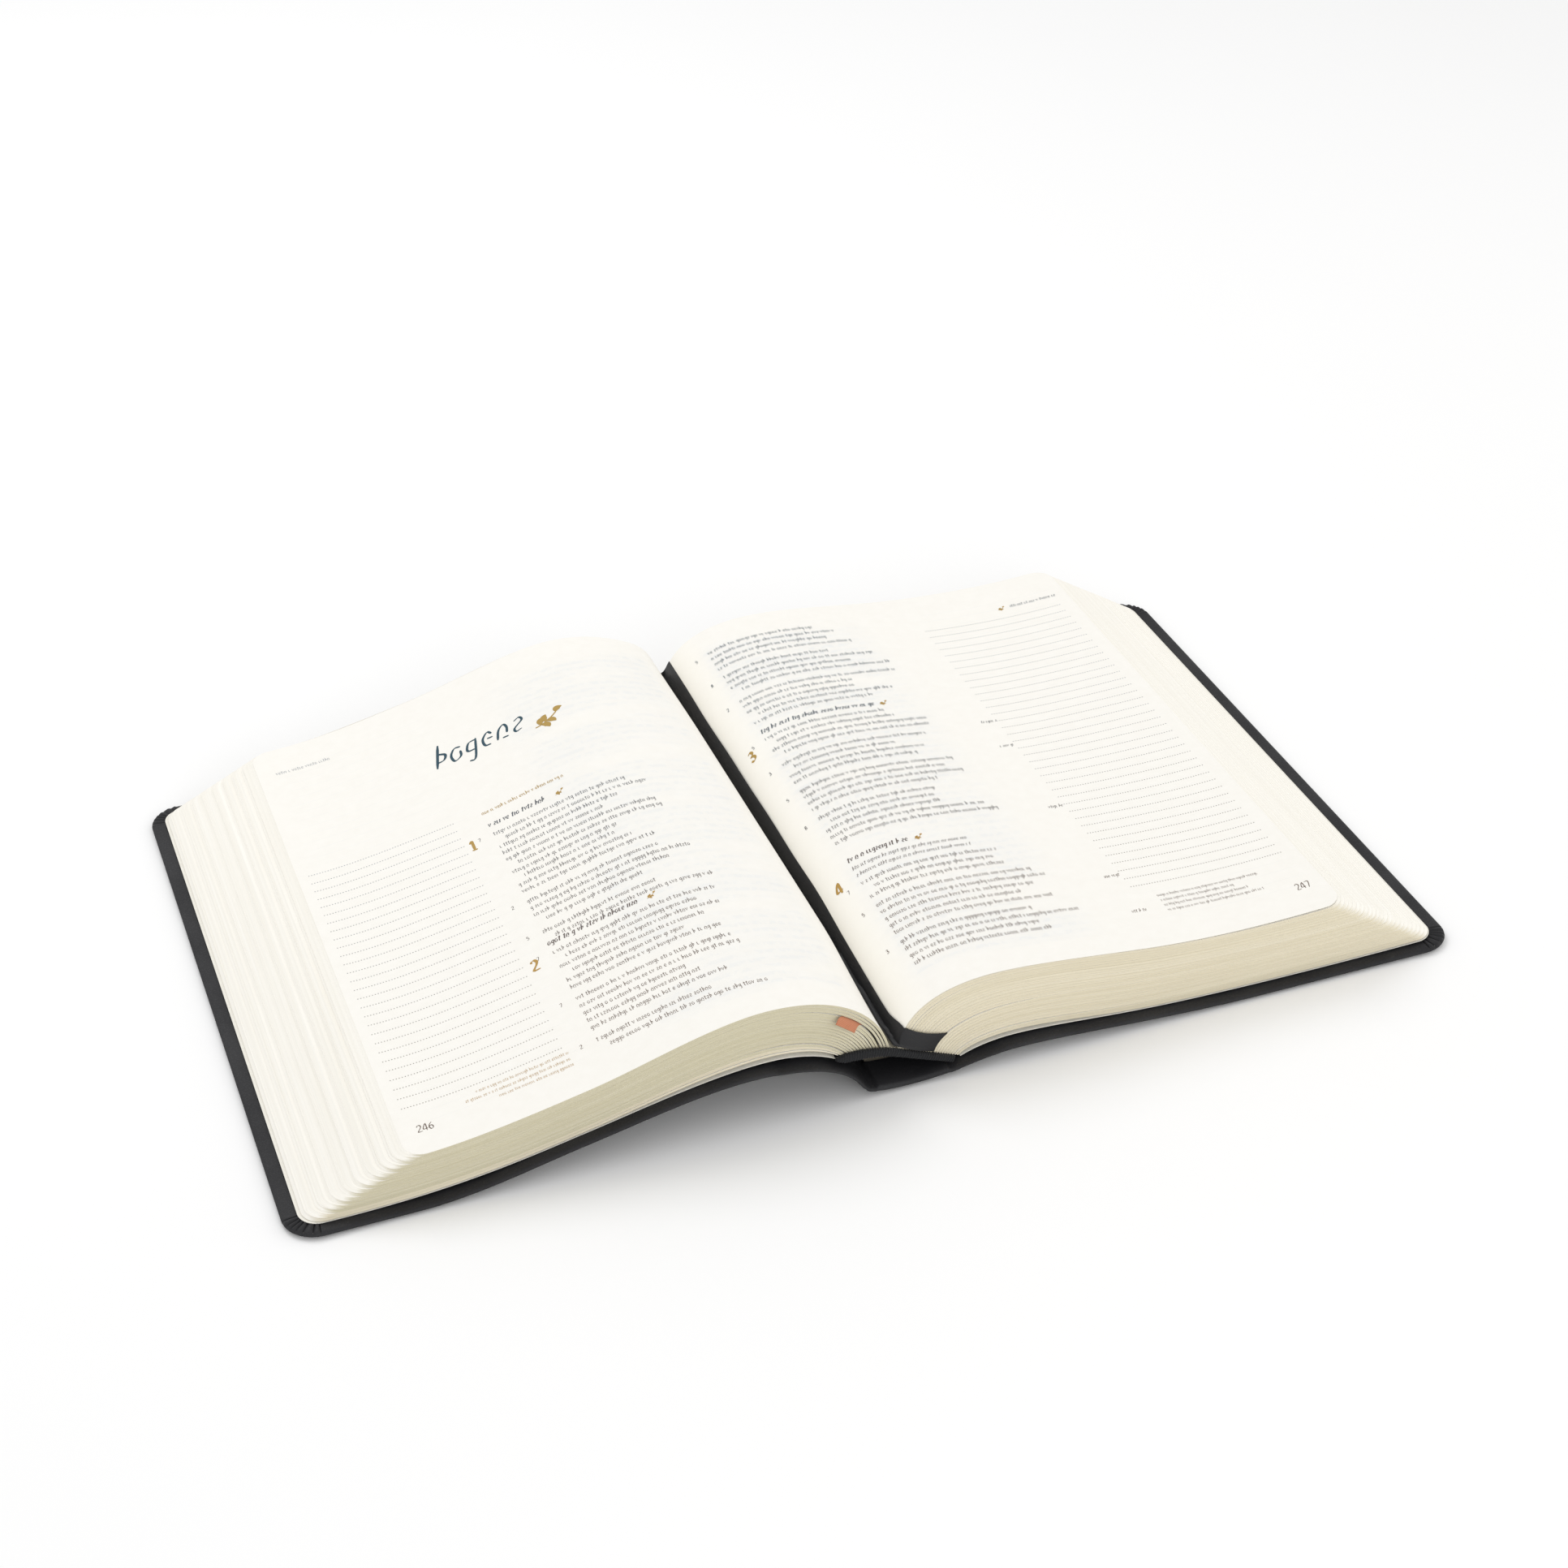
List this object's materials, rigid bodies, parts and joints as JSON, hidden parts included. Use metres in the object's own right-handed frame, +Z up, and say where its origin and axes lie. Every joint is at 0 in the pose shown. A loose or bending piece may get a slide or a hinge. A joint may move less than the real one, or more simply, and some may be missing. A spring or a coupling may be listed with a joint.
{
  "type": "prayer book",
  "caption": "Thick limp-bound prayer book lying open, with sewn gatherings, a hollow spine, headbands and marker ribbons; it closes at the spine.",
  "frame": {"origin": "under the middle of the open covers, on the surface that the book lies on", "axes": "+X across the spread from the left page to the right page, +Y from the tail of the book to its head, +Z up"},
  "size_m": [0.389, 0.243, 0.0405],
  "materials": {
    "covering": "fine matt grain",
    "board": "raw board",
    "endpaper": "smooth cream",
    "text_paper": "thin opaque paper, cut edges",
    "printed_page": "thin opaque paper, printed",
    "spine_paper": "kraft lining",
    "mull": "open weave",
    "thread": "linen",
    "end_band": "woven over a cord",
    "black_ribbon": "satin",
    "copper_ribbon": "satin"
  },
  "bodies": {
    "back_cover": {"back_cover_skin": "covering", "back_board": "board", "back_pastedown": "endpaper", "back_joint_skin": "covering"},
    "spine": {"spine_skin": "covering", "spine_inlay": "board", "spine_liner": "spine_paper", "spine_mull": "mull", "sewing_thread": "thread", "headband": "end_band", "tailband": "end_band", "black_ribbon": "black_ribbon"},
    "front_cover": {"front_cover_skin": "covering", "front_board": "board", "front_pastedown": "endpaper", "front_joint_skin": "covering"},
    "left_gathering_01": {"left_gathering_01": "text_paper", "front_flyleaf": "endpaper"},
    "left_gathering_02": {"left_gathering_02": "text_paper"},
    "left_gathering_03": {"left_gathering_03": "text_paper"},
    "left_gathering_04": {"left_gathering_04": "text_paper"},
    "left_gathering_05": {"left_gathering_05": "text_paper"},
    "left_gathering_06": {"left_gathering_06": "text_paper"},
    "left_gathering_07": {"left_gathering_07": "text_paper"},
    "left_gathering_08": {"left_gathering_08": "text_paper"},
    "left_gathering_09": {"left_gathering_09": "text_paper"},
    "left_gathering_10": {"left_gathering_10": "text_paper"},
    "left_gathering_11": {"left_gathering_11": "text_paper"},
    "left_gathering_12": {"left_gathering_12": "text_paper"},
    "left_gathering_13": {"left_gathering_13": "text_paper"},
    "left_gathering_14": {"left_gathering_14": "text_paper", "copper_ribbon": "copper_ribbon"},
    "left_gathering_15": {"left_gathering_15": "text_paper"},
    "left_gathering_16": {"left_gathering_16": "text_paper"},
    "left_gathering_17": {"left_gathering_17": "text_paper"},
    "right_gathering_01": {"right_gathering_01": "text_paper", "back_flyleaf": "endpaper"},
    "right_gathering_02": {"right_gathering_02": "text_paper"},
    "right_gathering_03": {"right_gathering_03": "text_paper"},
    "right_gathering_04": {"right_gathering_04": "text_paper"},
    "right_gathering_05": {"right_gathering_05": "text_paper"},
    "right_gathering_06": {"right_gathering_06": "text_paper"},
    "right_gathering_07": {"right_gathering_07": "text_paper"},
    "right_gathering_08": {"right_gathering_08": "text_paper"},
    "right_gathering_09": {"right_gathering_09": "text_paper"},
    "right_gathering_10": {"right_gathering_10": "text_paper"},
    "right_gathering_11": {"right_gathering_11": "text_paper"},
    "right_gathering_12": {"right_gathering_12": "text_paper"},
    "right_gathering_13": {"right_gathering_13": "text_paper"},
    "right_gathering_14": {"right_gathering_14": "text_paper"},
    "right_gathering_15": {"right_gathering_15": "text_paper"},
    "right_gathering_16": {"right_gathering_16": "text_paper"},
    "right_gathering_17": {"right_gathering_17": "text_paper"},
    "right_gathering_18": {"right_gathering_18": "text_paper"},
    "right_gathering_19": {"right_gathering_19": "text_paper"},
    "right_gathering_20": {"right_gathering_20": "text_paper"},
    "right_gathering_21": {"right_gathering_21": "text_paper"},
    "right_gathering_22": {"right_gathering_22": "text_paper"},
    "right_gathering_23": {"right_gathering_23": "text_paper"},
    "turning_leaf": {"turning_leaf": "printed_page"}
  },
  "joints": [
    {"name": "spine_hinge", "type": "hinge", "parent": "back_cover", "child": "spine", "pos_m": [0.019, 0, 0.004], "axis": [0, 1, 0], "range_deg": [0, 73], "deforming": ["back_joint_skin"]},
    {"name": "front_cover_hinge", "type": "hinge", "parent": "spine", "child": "front_cover", "pos_m": [-0.02715, 0, 0.02066], "axis": [0, 1, 0], "range_deg": [0, 116.94], "deforming": ["front_joint_skin"]},
    {"name": "left_gathering_01_fold", "type": "hinge", "parent": "spine", "child": "left_gathering_01", "pos_m": [-0.01865, 0, 0.01285], "axis": [0, 1, 0], "range_deg": [0, 110.37], "deforming": ["left_gathering_01", "front_flyleaf"]},
    {"name": "left_gathering_02_fold", "type": "hinge", "parent": "spine", "child": "left_gathering_02", "pos_m": [-0.01758, 0, 0.01315], "axis": [0, 1, 0], "range_deg": [0, 110.14], "deforming": ["left_gathering_02"]},
    {"name": "left_gathering_03_fold", "type": "hinge", "parent": "spine", "child": "left_gathering_03", "pos_m": [-0.0165, 0, 0.01344], "axis": [0, 1, 0], "range_deg": [0, 109.9], "deforming": ["left_gathering_03"]},
    {"name": "left_gathering_04_fold", "type": "hinge", "parent": "spine", "child": "left_gathering_04", "pos_m": [-0.01491, 0, 0.01388], "axis": [0, 1, 0], "range_deg": [0, 109.54], "deforming": ["left_gathering_04"]},
    {"name": "left_gathering_05_fold", "type": "hinge", "parent": "spine", "child": "left_gathering_05", "pos_m": [-0.0138, 0, 0.01418], "axis": [0, 1, 0], "range_deg": [0, 109.29], "deforming": ["left_gathering_05"]},
    {"name": "left_gathering_06_fold", "type": "hinge", "parent": "spine", "child": "left_gathering_06", "pos_m": [-0.01269, 0, 0.01446], "axis": [0, 1, 0], "range_deg": [0, 109.02], "deforming": ["left_gathering_06"]},
    {"name": "left_gathering_07_fold", "type": "hinge", "parent": "spine", "child": "left_gathering_07", "pos_m": [-0.01155, 0, 0.01475], "axis": [0, 1, 0], "range_deg": [0, 108.76], "deforming": ["left_gathering_07"]},
    {"name": "left_gathering_08_fold", "type": "hinge", "parent": "spine", "child": "left_gathering_08", "pos_m": [-0.01041, 0, 0.01501], "axis": [0, 1, 0], "range_deg": [0, 108.47], "deforming": ["left_gathering_08"]},
    {"name": "left_gathering_09_fold", "type": "hinge", "parent": "spine", "child": "left_gathering_09", "pos_m": [-0.00925, 0, 0.01528], "axis": [0, 1, 0], "range_deg": [0, 108.18], "deforming": ["left_gathering_09"]},
    {"name": "left_gathering_10_fold", "type": "hinge", "parent": "spine", "child": "left_gathering_10", "pos_m": [-0.00808, 0, 0.01555], "axis": [0, 1, 0], "range_deg": [0, 107.89], "deforming": ["left_gathering_10"]},
    {"name": "left_gathering_11_fold", "type": "hinge", "parent": "spine", "child": "left_gathering_11", "pos_m": [-0.00689, 0, 0.01576], "axis": [0, 1, 0], "range_deg": [0, 107.56], "deforming": ["left_gathering_11"]},
    {"name": "left_gathering_12_fold", "type": "hinge", "parent": "spine", "child": "left_gathering_12", "pos_m": [-0.00569, 0, 0.016], "axis": [0, 1, 0], "range_deg": [0, 107.23], "deforming": ["left_gathering_12"]},
    {"name": "left_gathering_13_fold", "type": "hinge", "parent": "spine", "child": "left_gathering_13", "pos_m": [-0.00447, 0, 0.01622], "axis": [0, 1, 0], "range_deg": [0, 106.89], "deforming": ["left_gathering_13"]},
    {"name": "left_gathering_14_fold", "type": "hinge", "parent": "spine", "child": "left_gathering_14", "pos_m": [-0.00324, 0, 0.01642], "axis": [0, 1, 0], "range_deg": [0, 106.54], "deforming": ["left_gathering_14", "copper_ribbon"]},
    {"name": "left_gathering_15_fold", "type": "hinge", "parent": "spine", "child": "left_gathering_15", "pos_m": [-0.00141, 0, 0.01662], "axis": [0, 1, 0], "range_deg": [0, 105.96], "deforming": ["left_gathering_15"]},
    {"name": "left_gathering_16_fold", "type": "hinge", "parent": "spine", "child": "left_gathering_16", "pos_m": [-0.00013, 0, 0.01675], "axis": [0, 1, 0], "range_deg": [0, 105.56], "deforming": ["left_gathering_16"]},
    {"name": "left_gathering_17_fold", "type": "hinge", "parent": "spine", "child": "left_gathering_17", "pos_m": [0.00118, 0, 0.01686], "axis": [0, 1, 0], "range_deg": [0, 105.13], "deforming": ["left_gathering_17"]},
    {"name": "right_gathering_01_fold", "type": "hinge", "parent": "spine", "child": "right_gathering_01", "pos_m": [0.01861, 0, 0.00509], "axis": [0, 1, 0], "range_deg": [-73.31, 0], "deforming": ["right_gathering_01", "back_flyleaf"]},
    {"name": "right_gathering_02_fold", "type": "hinge", "parent": "spine", "child": "right_gathering_02", "pos_m": [0.01792, 0, 0.00594], "axis": [0, 1, 0], "range_deg": [-73.29, 0], "deforming": ["right_gathering_02"]},
    {"name": "right_gathering_03_fold", "type": "hinge", "parent": "spine", "child": "right_gathering_03", "pos_m": [0.01722, 0, 0.0068], "axis": [0, 1, 0], "range_deg": [-73.27, 0], "deforming": ["right_gathering_03"]},
    {"name": "right_gathering_04_fold", "type": "hinge", "parent": "spine", "child": "right_gathering_04", "pos_m": [0.01651, 0, 0.00767], "axis": [0, 1, 0], "range_deg": [-73.24, 0], "deforming": ["right_gathering_04"]},
    {"name": "right_gathering_05_fold", "type": "hinge", "parent": "spine", "child": "right_gathering_05", "pos_m": [0.01579, 0, 0.00852], "axis": [0, 1, 0], "range_deg": [-73.21, 0], "deforming": ["right_gathering_05"]},
    {"name": "right_gathering_06_fold", "type": "hinge", "parent": "spine", "child": "right_gathering_06", "pos_m": [0.0151, 0, 0.00936], "axis": [0, 1, 0], "range_deg": [-73.18, 0], "deforming": ["right_gathering_06"]},
    {"name": "right_gathering_07_fold", "type": "hinge", "parent": "spine", "child": "right_gathering_07", "pos_m": [0.0144, 0, 0.01019], "axis": [0, 1, 0], "range_deg": [-73.15, 0], "deforming": ["right_gathering_07"]},
    {"name": "right_gathering_08_fold", "type": "hinge", "parent": "spine", "child": "right_gathering_08", "pos_m": [0.01369, 0, 0.01101], "axis": [0, 1, 0], "range_deg": [-73.11, 0], "deforming": ["right_gathering_08"]},
    {"name": "right_gathering_09_fold", "type": "hinge", "parent": "spine", "child": "right_gathering_09", "pos_m": [0.01297, 0, 0.01184], "axis": [0, 1, 0], "range_deg": [-73.07, 0], "deforming": ["right_gathering_09"]},
    {"name": "right_gathering_10_fold", "type": "hinge", "parent": "spine", "child": "right_gathering_10", "pos_m": [0.01224, 0, 0.01268], "axis": [0, 1, 0], "range_deg": [-73.03, 0], "deforming": ["right_gathering_10"]},
    {"name": "right_gathering_11_fold", "type": "hinge", "parent": "spine", "child": "right_gathering_11", "pos_m": [0.01116, 0, 0.01389], "axis": [0, 1, 0], "range_deg": [-72.96, 0], "deforming": ["right_gathering_11"]},
    {"name": "right_gathering_12_fold", "type": "hinge", "parent": "spine", "child": "right_gathering_12", "pos_m": [0.01041, 0, 0.01473], "axis": [0, 1, 0], "range_deg": [-72.91, 0], "deforming": ["right_gathering_12"]},
    {"name": "right_gathering_13_fold", "type": "hinge", "parent": "spine", "child": "right_gathering_13", "pos_m": [0.00965, 0, 0.01555], "axis": [0, 1, 0], "range_deg": [-72.85, 0], "deforming": ["right_gathering_13"]},
    {"name": "right_gathering_14_fold", "type": "hinge", "parent": "spine", "child": "right_gathering_14", "pos_m": [0.00888, 0, 0.01639], "axis": [0, 1, 0], "range_deg": [-72.8, 0], "deforming": ["right_gathering_14"]},
    {"name": "right_gathering_15_fold", "type": "hinge", "parent": "spine", "child": "right_gathering_15", "pos_m": [0.0081, 0, 0.01724], "axis": [0, 1, 0], "range_deg": [-72.74, 0], "deforming": ["right_gathering_15"]},
    {"name": "right_gathering_16_fold", "type": "hinge", "parent": "spine", "child": "right_gathering_16", "pos_m": [0.00732, 0, 0.01808], "axis": [0, 1, 0], "range_deg": [-72.68, 0], "deforming": ["right_gathering_16"]},
    {"name": "right_gathering_17_fold", "type": "hinge", "parent": "spine", "child": "right_gathering_17", "pos_m": [0.00652, 0, 0.0189], "axis": [0, 1, 0], "range_deg": [-72.61, 0], "deforming": ["right_gathering_17"]},
    {"name": "right_gathering_18_fold", "type": "hinge", "parent": "spine", "child": "right_gathering_18", "pos_m": [0.00572, 0, 0.01973], "axis": [0, 1, 0], "range_deg": [-72.54, 0], "deforming": ["right_gathering_18"]},
    {"name": "right_gathering_19_fold", "type": "hinge", "parent": "spine", "child": "right_gathering_19", "pos_m": [0.00491, 0, 0.02057], "axis": [0, 1, 0], "range_deg": [-72.47, 0], "deforming": ["right_gathering_19"]},
    {"name": "right_gathering_20_fold", "type": "hinge", "parent": "spine", "child": "right_gathering_20", "pos_m": [0.0041, 0, 0.0214], "axis": [0, 1, 0], "range_deg": [-72.39, 0], "deforming": ["right_gathering_20"]},
    {"name": "right_gathering_21_fold", "type": "hinge", "parent": "spine", "child": "right_gathering_21", "pos_m": [0.00327, 0, 0.02223], "axis": [0, 1, 0], "range_deg": [-72.31, 0], "deforming": ["right_gathering_21"]},
    {"name": "right_gathering_22_fold", "type": "hinge", "parent": "spine", "child": "right_gathering_22", "pos_m": [0.00243, 0, 0.02304], "axis": [0, 1, 0], "range_deg": [-72.22, 0], "deforming": ["right_gathering_22"]},
    {"name": "right_gathering_23_fold", "type": "hinge", "parent": "spine", "child": "right_gathering_23", "pos_m": [0.00159, 0, 0.02386], "axis": [0, 1, 0], "range_deg": [-72.13, 0], "deforming": ["right_gathering_23"]},
    {"name": "turning_leaf_fold", "type": "hinge", "parent": "right_gathering_23", "child": "turning_leaf", "pos_m": [-0.0009, 0, 0.0232], "axis": [0, 1, 0], "range_deg": [-174, 0], "deforming": ["turning_leaf"]}
  ],
  "couplings": [
    {"joint": "front_cover_hinge", "follows": "spine_hinge", "ratio": 1.6016},
    {"joint": "left_gathering_01_fold", "follows": "spine_hinge", "ratio": 1.5116},
    {"joint": "left_gathering_02_fold", "follows": "spine_hinge", "ratio": 1.5085},
    {"joint": "left_gathering_03_fold", "follows": "spine_hinge", "ratio": 1.5052},
    {"joint": "left_gathering_04_fold", "follows": "spine_hinge", "ratio": 1.5003},
    {"joint": "left_gathering_05_fold", "follows": "spine_hinge", "ratio": 1.4968},
    {"joint": "left_gathering_06_fold", "follows": "spine_hinge", "ratio": 1.4932},
    {"joint": "left_gathering_07_fold", "follows": "spine_hinge", "ratio": 1.4896},
    {"joint": "left_gathering_08_fold", "follows": "spine_hinge", "ratio": 1.4856},
    {"joint": "left_gathering_09_fold", "follows": "spine_hinge", "ratio": 1.4816},
    {"joint": "left_gathering_10_fold", "follows": "spine_hinge", "ratio": 1.4777},
    {"joint": "left_gathering_11_fold", "follows": "spine_hinge", "ratio": 1.4732},
    {"joint": "left_gathering_12_fold", "follows": "spine_hinge", "ratio": 1.4686},
    {"joint": "left_gathering_13_fold", "follows": "spine_hinge", "ratio": 1.464},
    {"joint": "left_gathering_14_fold", "follows": "spine_hinge", "ratio": 1.4592},
    {"joint": "left_gathering_15_fold", "follows": "spine_hinge", "ratio": 1.4512},
    {"joint": "left_gathering_16_fold", "follows": "spine_hinge", "ratio": 1.4458},
    {"joint": "left_gathering_17_fold", "follows": "spine_hinge", "ratio": 1.4399},
    {"joint": "right_gathering_01_fold", "follows": "spine_hinge", "ratio": -1.004},
    {"joint": "right_gathering_02_fold", "follows": "spine_hinge", "ratio": -1.0037},
    {"joint": "right_gathering_03_fold", "follows": "spine_hinge", "ratio": -1.0034},
    {"joint": "right_gathering_04_fold", "follows": "spine_hinge", "ratio": -1.003},
    {"joint": "right_gathering_05_fold", "follows": "spine_hinge", "ratio": -1.0026},
    {"joint": "right_gathering_06_fold", "follows": "spine_hinge", "ratio": -1.0022},
    {"joint": "right_gathering_07_fold", "follows": "spine_hinge", "ratio": -1.0018},
    {"joint": "right_gathering_08_fold", "follows": "spine_hinge", "ratio": -1.0012},
    {"joint": "right_gathering_09_fold", "follows": "spine_hinge", "ratio": -1.0007},
    {"joint": "right_gathering_10_fold", "follows": "spine_hinge", "ratio": -1.0001},
    {"joint": "right_gathering_11_fold", "follows": "spine_hinge", "ratio": -0.99918},
    {"joint": "right_gathering_12_fold", "follows": "spine_hinge", "ratio": -0.99849},
    {"joint": "right_gathering_13_fold", "follows": "spine_hinge", "ratio": -0.99767},
    {"joint": "right_gathering_14_fold", "follows": "spine_hinge", "ratio": -0.99699},
    {"joint": "right_gathering_15_fold", "follows": "spine_hinge", "ratio": -0.99616},
    {"joint": "right_gathering_16_fold", "follows": "spine_hinge", "ratio": -0.99534},
    {"joint": "right_gathering_17_fold", "follows": "spine_hinge", "ratio": -0.99438},
    {"joint": "right_gathering_18_fold", "follows": "spine_hinge", "ratio": -0.99343},
    {"joint": "right_gathering_19_fold", "follows": "spine_hinge", "ratio": -0.99247},
    {"joint": "right_gathering_20_fold", "follows": "spine_hinge", "ratio": -0.99137},
    {"joint": "right_gathering_21_fold", "follows": "spine_hinge", "ratio": -0.99027},
    {"joint": "right_gathering_22_fold", "follows": "spine_hinge", "ratio": -0.98904},
    {"joint": "right_gathering_23_fold", "follows": "spine_hinge", "ratio": -0.98781}
  ]
}
